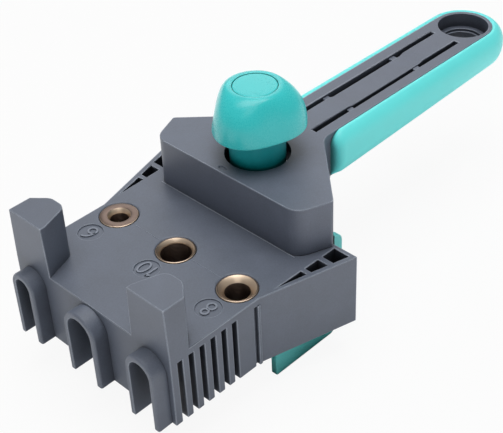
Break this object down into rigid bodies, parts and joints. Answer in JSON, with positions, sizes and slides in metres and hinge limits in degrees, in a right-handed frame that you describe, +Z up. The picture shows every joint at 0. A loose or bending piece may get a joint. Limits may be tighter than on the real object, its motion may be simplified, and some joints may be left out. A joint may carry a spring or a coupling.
{
  "type": "self centering doweling jig",
  "caption": "Hand-held drilling jig: a knob-driven rack and pinion closes two jaws on a board so that a row of drill bushes is centred on its edge.",
  "frame": {"origin": "on the axis of the middle drill bush, level with the base that rests on the board", "axes": "+Z up along the bushes, +Y towards the handle and along it, +X across the jig to the right bush"},
  "size_m": [0.0904, 0.2062, 0.0823],
  "materials": {
    "block_grey": "moulded slate grey, fine texture",
    "housing_grey": "moulded slate grey, fine texture",
    "cover_grey": "moulded dark grey",
    "grip_turquoise": "soft satin",
    "knob_turquoise": "satin",
    "jaw_turquoise": "satin",
    "bush_steel": "hardened, browned",
    "bearing_brass": "turned",
    "gear_steel": "machined",
    "spring_steel": "rolled",
    "screw_steel": "zinc plated"
  },
  "bodies": {
    "block": {"drill_block": "block_grey", "bush_6mm": "bush_steel", "bush_10mm": "bush_steel", "bush_8mm": "bush_steel", "base_cover": "cover_grey", "base_cover_screws": "screw_steel", "handle_housing": "housing_grey", "housing_screws": "screw_steel", "handle_back": "cover_grey", "handle_back_screws": "screw_steel", "grip_sleeve": "grip_turquoise", "gear_cover": "cover_grey", "gear_cover_screws": "screw_steel", "lower_bearing": "bearing_brass", "upper_bearing": "bearing_brass", "spring_washer": "spring_steel"},
    "knob": {"drive_pinion": "gear_steel", "knob_stem": "knob_turquoise", "knob_screw": "screw_steel", "knob_cap": "knob_turquoise", "knob_disc": "knob_turquoise"},
    "rear_clamp": {"rear_jaw": "jaw_turquoise", "rear_rack": "gear_steel", "rear_rack_screws": "screw_steel"},
    "front_clamp": {"front_jaw": "jaw_turquoise", "front_rack": "gear_steel", "front_rack_screws": "screw_steel"}
  },
  "joints": [
    {"name": "knob_turn", "type": "hinge", "parent": "block", "child": "knob", "pos_m": [0, 0.0383, 0.03], "axis": [0, 0, 1], "range_deg": [-19, 49.6]},
    {"name": "rear_jaw_slide", "type": "slide", "parent": "block", "child": "rear_clamp", "axis": [0, 1, 0], "range_m": [-0.0025, 0.0065]},
    {"name": "front_jaw_slide", "type": "slide", "parent": "block", "child": "front_clamp", "axis": [0, -1, 0], "range_m": [-0.0025, 0.0065]}
  ],
  "couplings": [
    {"joint": "rear_jaw_slide", "follows": "knob_turn", "m_per_rad": 0.0075},
    {"joint": "front_jaw_slide", "follows": "knob_turn", "m_per_rad": 0.0075}
  ]
}
